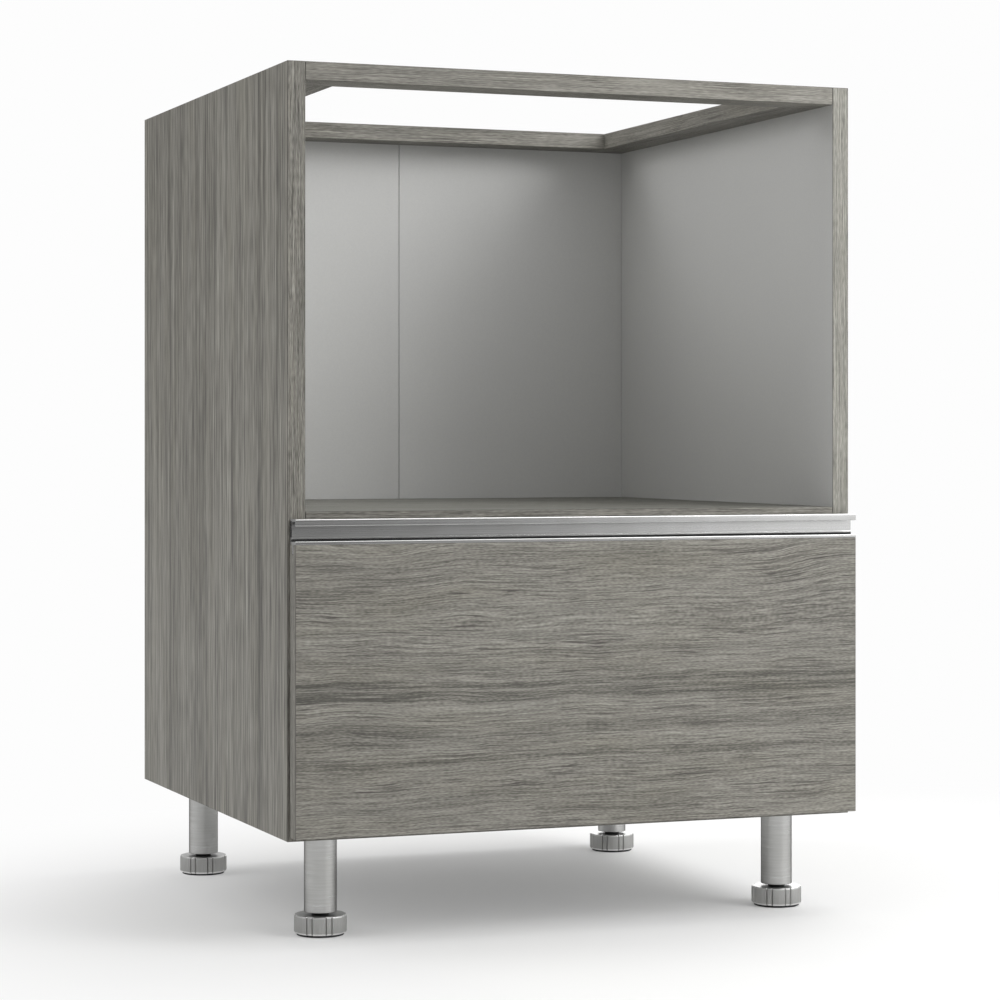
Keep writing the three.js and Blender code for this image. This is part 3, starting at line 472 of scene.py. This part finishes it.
def dress_boards():
    """The boards: oak laminate where it shows, grey melamine elsewhere."""
    side_look = {"wander": 0.25, "bands": SIDE_BANDS, "reach": 6, "spacing": 3.0, "contrast": 1.0,
                 "raw_sides": [REAR]}
    left_board = laminated_board("oak_laminate_left_side", GRAIN_Z, GRAIN_Y, (1, 2, 3),
                                 plain_sides=[RIGHT], **side_look)
    # The right panel's front edging is painted lighter: painted light from the lamps on the right.
    right_board = laminated_board("oak_laminate_right_side", GRAIN_Z, GRAIN_Y, (5, 7, 4),
                                  plain_sides=[LEFT], painted_lit_side=FRONT, **side_look)
    bottom_board = laminated_board("oak_laminate_bottom", GRAIN_X, GRAIN_Y, (9, 2, 1),
                                   plain_sides=[UP, DOWN], raw_sides=[REAR])
    shelf_board = laminated_board("oak_laminate_shelf", GRAIN_X, GRAIN_Y, (3, 8, 6), reach=2.5, spacing=2.4,
                                  plain_sides=[DOWN], raw_sides=[REAR], wash="#d5d8d7")
    cross_board = laminated_board("oak_laminate_cross_rails", GRAIN_X, GRAIN_Z, (6, 1, 8), reach=1.5,
                                  spacing=0.5, contrast=1.2)
    long_board = laminated_board("oak_laminate_side_rails", GRAIN_Y, GRAIN_Z, (2, 6, 7), reach=1.3,
                                 spacing=0.5, contrast=1.1)
    front_board = laminated_board("oak_laminate_drawer_front", GRAIN_X, GRAIN_Z, (4, 5, 2), 1.0,
                                  FRONT_ARCHES, FRONT_BANDS, reach=0.9, plain_sides=[REAR])
    for name, finish in {
        "side_panel_left": left_board,
        "side_panel_right": right_board,
        "bottom_panel": bottom_board,
        "niche_shelf": shelf_board,
        "top_rail_front": cross_board,
        "top_rail_back": cross_board,
        "top_rail_left": long_board,
        "top_rail_right": long_board,
        "drawer_front": front_board,
    }.items():
        ease_edges(dress(name, finish), EDGED)
    plain = grey_melamine("grey_melamine_pressed")
    for name in ("back_panel_left", "back_panel_right", "drawer_bottom"):
        ease_edges(dress(name, plain), THIN)
    for name in ("drawer_side_left", "drawer_side_right", "drawer_inner_front", "drawer_back"):
        ease_edges(dress(name, plain), EDGED)
    ease_edges(dress("back_seam_tape", paper_tape("grey_paper_tape")), TAPED, 1)


def dress_hardware():
    """The grip profile, and the finishes of the runners, screws, bumpers and leg plates."""
    # The grip's rounds get a painted highlight.
    draw_grip(satin_metal("anodised_aluminium_drawn", "#a2a2a2", (300, 0.7, 0.7), (0.25, 0.32), painted_highlight=0.5),
              # The black strip in the grip's slot is painted shadow.
              moulded("black_slot_painted_shadow", "#141414", 0.75, 0.5, 0.02))
    steel = satin_metal("zinc_plated_steel_rolled", "#b4b7b8", (8, 90, 1.2), (0.28, 0.42))
    nylon = moulded("black_nylon_moulded", "#1c1d1f", 0.5, 0.7, 0.01)
    silicone = clear_silicone("clear_silicone_cast")
    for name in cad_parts:
        if name.startswith(("runner_", "front_screw_", "leg_plate_")):
            dress(name, steel)
        elif name.startswith("ball_cage_"):
            dress(name, nylon)
        elif name.startswith("front_bumper_"):
            dress(name, silicone)
    for leg in LEGS:
        ease_edges(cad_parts["leg_plate_" + leg], 0.35)


# ---------------------------------------------------------------- the grip profile

# Its section: (behind the front face, above the wooden edge, corner radius) in mm. The lip hangs over a
# finger recess. Under the web's nose runs a slot, filled with a black strip that is painted shadow,
# and before it stands the bead.
GRIP_SECTION = (
    (0, 0, 0.4), (7.5, 0, 0), (7.5, -9, 0.3), (10.5, -9, 0.3), (10.5, 0, 0), (18, 0, 0.3),
    (18, 24, 0.4), (0, 24, 1.0), (0, 17.3, 0.8), (1.5, 17.3, 0.4), (1.5, 22.5, 0.5), (11, 22.5, 0.8),
    (11, 6.4, 0.4), (10.2, 6.1, 0.15), (10.2, 4.9, 0.5), (15.5, 4.9, 0.2), (15.5, 2.6, 0.2),
    (1.5, 2.6, 0.25), (1.5, 3.2, 0.25), (0, 3.2, 0.9),
)
GRIP_CHAMBER = ((12.5, 6.4, 0.5), (16.5, 6.4, 0.5), (16.5, 22.5, 0.5), (12.5, 22.5, 0.5))
# The black strip in the slot under the web's nose: painted shadow of the deep slot.
GRIP_SLOT_SHADOW = ((10.5, 2.65, 0.4), (15.4, 2.65, 0.2), (15.4, 4.85, 0.2), (10.5, 4.85, 0.4))
# How far the wooden edge lies under the profile's top, in mm.
GRIP_HEIGHT = 24


def rounded(corners, steps=5):
    """An outline through corners (x, y, radius), with each corner rounded off."""
    outline = []
    for i, (x, y, radius) in enumerate(corners):
        corner = Vector((x, y))
        if not radius:
            outline.append(corner)
            continue
        before = (Vector(corners[i - 1][:2]) - corner).normalized()
        after = (Vector(corners[(i + 1) % len(corners)][:2]) - corner).normalized()
        half = before.angle(after) / 2
        centre = corner + (before + after).normalized() * radius / math.sin(half)
        reach = radius / math.tan(half)
        start = corner + before * reach - centre
        end = corner + after * reach - centre
        for step in range(steps + 1):
            outline.append(centre + start.slerp(end, step / steps).normalized() * radius)
    return outline


def drawn_along_the_front(name, sections, finish):
    """A profile with those outlines as its section, from one end of the drawer front to the other."""
    low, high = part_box("handle_profile")
    drawing = bpy.data.curves.new(name, "CURVE")
    drawing.dimensions = "2D"
    drawing.fill_mode = "BOTH"
    drawing.extrude = (high.x - low.x) / 2
    for corners in sections:
        outline = rounded(corners)
        spline = drawing.splines.new("POLY")
        spline.points.add(len(outline) - 1)
        spline.use_cyclic_u = True
        for point, (behind, above) in zip(spline.points, outline):
            point.co = (behind * MM, above * MM, 0, 1)
    mesh = bpy.data.meshes.new_from_object(bpy.data.objects.new(name + "_drawing", drawing))
    # The section's two directions run back and up, and its length runs across the cabinet.
    mesh.transform(Matrix((
        (0, 0, 1, (low.x + high.x) / 2),
        (1, 0, 0, low.y),
        (0, 1, 0, high.z - GRIP_HEIGHT * MM),
        (0, 0, 0, 1),
    )))
    form = bmesh.new()
    form.from_mesh(mesh)
    bmesh.ops.remove_doubles(form, verts=form.verts, dist=0.000001)
    bmesh.ops.recalc_face_normals(form, faces=form.faces)
    form.to_mesh(mesh)
    form.free()
    mesh.materials.clear()
    mesh.materials.append(finish)
    piece = bpy.data.objects.new(name, mesh)
    bpy.context.collection.objects.link(piece)
    round_over(piece, 30)
    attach(piece, "drawer")
    return piece


def draw_grip(metal, rubber):
    """The grip profile with its chamber, and a black strip in its slot that paints the slot's shadow."""
    grip = drawn_along_the_front("grip_profile", (GRIP_SECTION, GRIP_CHAMBER), metal)
    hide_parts("handle_profile")
    # A black strip in the slot, as painted shadow.
    drawn_along_the_front("grip_slot_painted_shadow", (GRIP_SLOT_SHADOW,), rubber)


# ---------------------------------------------------------------- turned and cast pieces of the legs

# Sections of the turned pieces, as (radius, height above the floor) in mm.
TUBE_SECTION = (
    (14.5, 22.9), (14.9, 22.5), (15.6, 22.5), (16.0, 22.9), (16.0, 95.6), (16.25, 96.3), (16.9, 96.95),
    (14.5, 96.95),
)
BUSH_SECTION = (
    (5.15, 20.2), (8.2, 20.05), (8.5, 20.35), (8.5, 22.5), (13.8, 22.5), (14.4, 23.1), (14.4, 44.0),
    (13.9, 44.5), (5.15, 44.5),
)
SOLE_SECTION = (
    (0.4, 0.0), (7, 0.0), (7.4, 0.5), (9.6, 0.5), (10, 0.0), (14, 0.0), (14.4, 0.5), (16.6, 0.5),
    (17, 0.0), (22.5, 0.0), (23.05, 0.25), (23.2, 0.7), (23.2, 1.3), (22.9, 1.8), (22.4, 2.0),
    (3.0, 2.0), (3.0, 5.7), (2.7, 6.0), (0.4, 6.0),
)

# The adjusting wheel, in mm and, round its axis, in degrees from the middle of a lobe.
WHEEL_RADIUS = 25.7
LOBES = 8
NOTCH_AT, NOTCH_HALF_WIDTH, NOTCH_DEPTH = 15.8, 1.5, 1.3
HOLD_DEPTH = 0.45
KNURL_WAVES, KNURL_DEPTH = 84, 0.16
# How far the adjusting wheels are turned from where a lobe points right.
WHEEL_TURN = math.radians(24.7)

# The spindle's thread, and the hexagon head under it that sits in the wheel, in mm.
THREAD_RADIUS, THREAD_DEPTH, THREAD_PITCH = 5.0, 1.1, 2.0
THREAD_LOW, THREAD_HIGH = 9, 65.4
HEAD_ACROSS_FLATS = 17
# How many rows of points draw one turn of the thread.
THREAD_STEPS = 5
# The plate screws stand on this radius round the leg, under the plate's lower face, in mm.
SCREW_CIRCLE, PLATE_UNDER = 23, 97.0


def shell(name, rings, finish, body, stands_for, place):
    """A closed piece through rings of points in mm, the last joined to the first."""
    form = bmesh.new()
    rows = [[form.verts.new([c * MM for c in point]) for point in ring] for ring in rings]
    for lower, upper in zip(rows, rows[1:] + rows[:1]):
        for i in range(len(lower)):
            j = (i + 1) % len(lower)
            form.faces.new((lower[i], lower[j], upper[j], upper[i]))
    bmesh.ops.recalc_face_normals(form, faces=form.faces)
    mesh = bpy.data.meshes.new(name)
    form.to_mesh(mesh)
    form.free()
    mesh.materials.append(finish)
    piece = bpy.data.objects.new(name, mesh)
    piece.location = place
    bpy.context.collection.objects.link(piece)
    round_over(piece, 35)
    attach(piece, body)
    if stands_for:
        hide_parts(stands_for)


def circle(radius, height, count=96):
    """A ring of points, where radius may depend on the angle."""
    turns = [2 * math.pi * i / count for i in range(count)]
    reach = [radius(turn) if callable(radius) else radius for turn in turns]
    return [(r * math.cos(t), r * math.sin(t), height) for r, t in zip(reach, turns)]


def lobed(inset):
    """The outline of the adjusting wheel: knurled lobes, each between two notches, with a finger hold
    between one lobe's notch and the next one's."""
    def radius(turn):
        step = math.tau / LOBES
        from_middle = math.degrees(abs((turn - WHEEL_TURN + step / 2) % step - step / 2))
        knurl = KNURL_DEPTH * abs(math.sin(turn * KNURL_WAVES)) if inset < 0.5 else 0
        notch = max(0, 1 - abs(from_middle - NOTCH_AT) / NOTCH_HALF_WIDTH)
        hold = HOLD_DEPTH if from_middle > NOTCH_AT else 0
        return WHEEL_RADIUS - inset - knurl - hold - NOTCH_DEPTH * notch
    return radius


def hexagon(turn):
    """The outline of the spindle's head."""
    return HEAD_ACROSS_FLATS / 2 / math.cos((turn + math.pi / 6) % (math.pi / 3) - math.pi / 6)


def threaded(height):
    """The outline of the spindle's thread at that height."""
    def radius(turn):
        phase = (height / THREAD_PITCH - turn / math.tau) % 1
        return THREAD_RADIUS - THREAD_DEPTH * abs(2 * phase - 1)
    return radius


def build_leg(leg, finishes):
    """One leg's tube and bush, the wheel with its spindle, the floor pad and the plate's screws."""
    low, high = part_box("leg_tube_" + leg)
    place = ((low.x + high.x) / 2, (low.y + high.y) / 2, 0)
    metal, cast, thread_steel, nylon, rubber = finishes

    tube = [circle(radius, height) for radius, height in TUBE_SECTION]
    shell("tube_" + leg, tube, metal, "cabinet", "leg_tube_" + leg, place)

    bush = [circle(radius, height) for radius, height in BUSH_SECTION]
    shell("bush_" + leg, bush, nylon, "cabinet", "leg_bush_" + leg, place)

    wheel = [circle(radius, height, 1008) for radius, height in (
        (9.9, 2.05), (lobed(1.3), 2.05), (lobed(0.3), 3.0), (lobed(0.0), 3.8), (lobed(0.0), 18.5),
        (lobed(0.5), 19.85), (lobed(0.75), 20.0), (5.3, 20.0), (5.05, 19.7), (5.05, 8.8), (9.9, 8.8),
    )]
    shell("wheel_" + leg, wheel, cast, "foot_" + leg, "foot_wheel_" + leg, place)

    spindle = [(3.2, 2.2), (hexagon, 2.2), (hexagon, 8.6), (5.0, 8.6)]
    rows = int((THREAD_HIGH - THREAD_LOW) / THREAD_PITCH * THREAD_STEPS)
    for row in range(rows + 1):
        height = THREAD_LOW + row * THREAD_PITCH / THREAD_STEPS
        spindle.append((threaded(height), height))
    spindle += [(3.6, 66.0), (0.6, 66.0), (0.6, 6.3), (3.2, 6.3)]
    rings = [circle(radius, height, 48) for radius, height in spindle]
    shell("spindle_" + leg, rings, thread_steel, "foot_" + leg, "foot_spindle_" + leg, place)

    sole = [circle(radius, height) for radius, height in SOLE_SECTION]
    shell("sole_" + leg, sole, rubber, "pad_" + leg, "foot_pad_" + leg, place)

    for i in range(4):
        turn = math.radians(45 + 90 * i)
        x = place[0] + SCREW_CIRCLE * MM * math.cos(turn)
        y = place[1] + SCREW_CIRCLE * MM * math.sin(turn)
        pan_screw(f"plate_screw_{leg}_{i + 1}", (x, y, 0), PLATE_UNDER, thread_steel, "cabinet")


def pan_screw(name, at, under, finish, body):
    """A pan head screw with a cross recess, its head hanging under the height given in mm."""
    def cross(depth_share):
        def radius(turn):
            arm = abs((turn + math.pi / 4) % (math.pi / 2) - math.pi / 4)
            return max(0.9, min(1.9, 0.45 / max(0.05, math.sin(arm)))) * depth_share
        return radius
    rings = [circle(radius, height, 40) for radius, height in (
        (cross(1.0), under - 2.0), (2.9, under - 1.95), (3.6, under - 1.3), (3.75, under - 0.05),
        (0.3, under - 0.05), (0.3, under - 0.6), (cross(0.7), under - 0.8),
    )]
    shell(name, rings, finish, body, None, at)


# Where a cap's middle lies: from the board's front and rear edges, and from its end.
CAP_FROM_EDGE, CAP_FROM_END = 0.05, 0.034


def cover_caps(finish):
    """Push-in caps over the cam fittings, under the shelf and the bottom, near the side panels."""
    for board in ("niche_shelf", "bottom_panel"):
        low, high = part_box(board)
        under = low.z / MM
        rings = [circle(radius, height, 64) for radius, height in (
            (0.5, under - 0.9), (6.9, under - 0.9), (7.9, under - 0.6), (8.4, under - 0.05),
            (0.5, under - 0.05),
        )]
        for side, side_name in ((-1, "left"), (1, "right")):
            for row, y in enumerate((low.y + CAP_FROM_EDGE, high.y - CAP_FROM_EDGE)):
                at = (side * (high.x - CAP_FROM_END), y, 0)
                name = f"cam_cap_{board}_{side_name}_{row + 1}"
                shell(name, rings, finish, "cabinet", None, at)


def dress_legs():
    """The four legs, and the caps of the cabinet's underside."""
    turned = satin_metal("anodised_aluminium_turned", "#bcbcbb", (40, 40, 0.9), (0.27, 0.34),
                         edge_on="#6c6c6c")
    # The wheel's rim chamfers get a painted highlight.
    cast = satin_metal("zinc_alloy_satin_cast", "#b2b2b1", (1.2, 1.2, 14), (0.28, 0.4), 0.004, painted_highlight=0.8)
    steel = satin_metal("zinc_plated_steel_threaded", "#b4b7b8", (3, 3, 1), (0.25, 0.4))
    nylon = moulded("black_nylon_bush", "#191a1b", 0.45, 0.7, 0.01)
    rubber = moulded("black_rubber_moulded", "#151515", 0.72, 0.5, 0.03)
    for leg in LEGS:
        build_leg(leg, (turned, cast, steel, nylon, rubber))
    cover_caps(moulded("grey_polypropylene_cap", "#a5a5a2", 0.5, 0.8, 0.01))


# ---------------------------------------------------------------- floor, backdrop and light

FLOOR_RADIUS = 14
# The floor lies this far under the pads, so that no two faces lie in one plane.
FLOOR_DROP = 0.0002
# The lit floor melts into the white sweep between two distances from a place by the right front foot.
MELT_ROUND = (0.25, -0.25, 0)
MELT_FROM, MELT_TO = 0.5, 1.1
# How much lighter the eye sees the lit floor than it is, which keeps the shadow pale.
FLOOR_LIFT = 0.17
# How strongly the room itself lights the cabinet, where 1 is as bright as white.
ROOM_GLOW = 0.53

# The lamps, as (name, place, aim, width, height, watts).
LAMPS = (
    ("key", (1.75, -1.75, 1.9), (0, 0, 0.35), 1.3, 1.3, 26),
    ("strip", (1.5, -2.0, 1.25), (0, 0, 0.4), 1.2, 2.0, 19),
    ("fill", (-3.2, 0.5, 1.7), (0, 0, 0.5), 2.2, 1.8, 25),
    ("fill_rear", (-1.6, 0.9, 1.9), (-0.3, 0.3, 0.8), 0.9, 0.9, 6.5),
    ("overhead", (0.2, 0.1, 2.7), (0, 0, 0), 1.6, 1.6, 13.5),
    ("overhead_front", (1.0, -1.0, 2.5), (0, 0, 0.3), 1.4, 1.4, 11),
    ("overhead_right", (1.5, 0.3, 2.3), (0, 0, 0.3), 1.4, 1.4, 18),
    ("rear", (1.6, 2.2, 1.1), (0, 0, 0), 1.6, 1.2, 13.5),
)

# The grey card stands this far in front of the cabinet's middle. It is grey between two places from left
# to right and up to a height, and fades to white at its edges.
CARD_FRONT = -3.3
CARD_GREY = ((-0.4, 0.95), 0.9)
CARD_WHITE = ((-0.9, 1.75), 1.5)


def lay_floor():
    """A plain white floor. Near the cabinet it takes shadow, and further off it melts into the backdrop."""
    form = bmesh.new()
    bmesh.ops.create_circle(form, cap_ends=True, segments=96, radius=FLOOR_RADIUS)
    mesh = bpy.data.meshes.new("floor")
    form.to_mesh(mesh)
    form.free()
    floor = bpy.data.objects.new("floor", mesh)
    floor.location = (0, 0, -FLOOR_DROP)
    bpy.context.collection.objects.link(floor)

    finish, tree = new_finish("white_floor_painted")
    ray, seen = straight_or_mirrored(tree)
    mottle = cloud(tree, place_in_mm(tree), (400, 400, 400), (0, 0, 0), 2, 0.3, 0.7)
    white = put(tree, "Mix", {SHARE: mottle, COLOUR_A: paint("#d0d0cf"), COLOUR_B: paint("#cecece")},
                COLOUR_OUT, data_type="RGBA")
    lift = put(tree, "Math", {0: seen, 1: FLOOR_LIFT}, operation="MULTIPLY")
    near = put(tree, "BsdfPrincipled", {
        "Base Color": white, "Roughness": 0.9, "Specular IOR Level": 0.0,
        "Emission Color": paint("#fefefe"), "Emission Strength": lift,
    })
    place = put(tree, "TexCoord", out="Object")
    away = put(tree, "VectorMath", {0: place, 1: MELT_ROUND}, "Value", operation="DISTANCE")
    far = put(tree, "MapRange", {0: away, 1: MELT_FROM, 2: MELT_TO, 3: 0.0, 4: 1.0},
              interpolation_type="SMOOTHSTEP")
    sweep = put(tree, "Emission", {"Color": paint("#fdfdfd"), "Strength": 1.0})
    shown = put(tree, "Math", {0: far, 1: seen}, operation="MULTIPLY")
    whole = put(tree, "MixShader", {0: shown, 1: near, 2: sweep})
    # From below, the floor is left out of the picture, so that the underside can be looked at.
    under = put(tree, "NewGeometry", out="Backfacing")
    hidden = put(tree, "Math", {0: under, 1: ray["Is Camera Ray"]}, operation="MULTIPLY")
    clear = put(tree, "BsdfTransparent")
    put(tree, "OutputMaterial", {"Surface": put(tree, "MixShader", {0: hidden, 1: whole, 2: clear})})
    floor.data.materials.append(finish)


def stand_card():
    """A card in front of the cabinet that only metal mirrors, as a studio uses to shape a highlight. It is
    grey in the middle, fades to the sweep's white at its edges, and darkens the left end of the grip."""
    form = bmesh.new()
    low_x, high_x = CARD_WHITE[0]
    corners = [form.verts.new((x, CARD_FRONT, z)) for x, z in (
        (low_x, 0), (high_x, 0), (high_x, CARD_WHITE[1]), (low_x, CARD_WHITE[1]))]
    form.faces.new(corners)
    mesh = bpy.data.meshes.new("grey_card")
    form.to_mesh(mesh)
    form.free()
    card = bpy.data.objects.new("grey_card", mesh)
    card.visible_camera = False
    card.visible_diffuse = False
    card.visible_transmission = False
    card.visible_shadow = False
    bpy.context.collection.objects.link(card)

    finish, tree = new_finish("grey_card_paper")
    place = put(tree, "SeparateXYZ", {0: put(tree, "TexCoord", out="Object")}).node.outputs
    grey = 1.0
    for axis, white, full in ((0, low_x, CARD_GREY[0][0]), (0, high_x, CARD_GREY[0][1]),
                              (2, CARD_WHITE[1], CARD_GREY[1])):
        fade = put(tree, "MapRange", {0: place[axis], 1: white, 2: full, 3: 0.0, 4: 1.0},
                   interpolation_type="SMOOTHSTEP")
        grey = put(tree, "Math", {0: grey, 1: fade}, operation="MULTIPLY")
    colour = put(tree, "Mix", {SHARE: grey, COLOUR_A: paint("#fdfdfd"), COLOUR_B: paint("#6c6c6c")},
                 COLOUR_OUT, data_type="RGBA")
    put(tree, "OutputMaterial", {"Surface": put(tree, "Emission", {"Color": colour, "Strength": 1.0})})
    mesh.materials.append(finish)


def soft_lamp(name, place, aim, width, height, watts):
    """A square softbox that lights the cabinet and isn't seen itself."""
    light = bpy.data.lights.new(name, "AREA")
    light.shape = "RECTANGLE"
    light.size = width
    light.size_y = height
    light.energy = watts
    lamp = bpy.data.objects.new(name, light)
    lamp.location = place
    lamp.rotation_euler = (Vector(aim) - Vector(place)).to_track_quat("-Z", "Y").to_euler()
    lamp.visible_camera = False
    bpy.context.collection.objects.link(lamp)


def light_studio():
    """Soft studio light: a key high at the right front with a low strip for the metal, two fills from the
    left, three weak lamps overhead, one behind for the floor, and an even glow from the room."""
    for lamp in LAMPS:
        soft_lamp(*lamp)

    room = bpy.data.worlds.new("studio")
    room.use_nodes = True
    bpy.context.scene.world = room
    tree = room.node_tree
    tree.nodes.clear()
    ray, seen = straight_or_mirrored(tree)
    # What gloss mirrors is the white sweep above and on the right, and a grey wall on the left.
    way = put(tree, "TexCoord", out="Generated")
    side = put(tree, "VectorMath", {0: way, 1: (0.95, 0.1, 0.0)}, "Value", operation="DOT_PRODUCT")
    height = put(tree, "VectorMath", {0: way, 1: UP}, "Value", operation="DOT_PRODUCT")
    leftness = put(tree, "MapRange", {0: side, 1: 0.05, 2: 0.5, 3: 1.0, 4: 0.0},
                   interpolation_type="SMOOTHSTEP")
    lowness = put(tree, "MapRange", {0: height, 1: 0.35, 2: 0.6, 3: 1.0, 4: 0.0})
    wall = put(tree, "Math", {0: leftness, 1: ray["Is Glossy Ray"]}, operation="MULTIPLY")
    wall = put(tree, "Math", {0: wall, 1: lowness}, operation="MULTIPLY")
    backdrop = put(tree, "Mix", {SHARE: wall, COLOUR_A: paint("#fdfdfd"), COLOUR_B: paint("#737373")},
                   COLOUR_OUT, data_type="RGBA")
    sweep = put(tree, "Background", {"Color": backdrop, "Strength": 1.0})
    glow = put(tree, "Background", {"Color": paint("#fdfdfd"), "Strength": ROOM_GLOW})
    put(tree, "OutputWorld", {"Surface": put(tree, "MixShader", {0: seen, 1: glow, 2: sweep})})
    bpy.context.scene.view_settings.view_transform = "Standard"


stand_camera()
dress_boards()
dress_hardware()
dress_legs()
lay_floor()
stand_card()
light_studio()
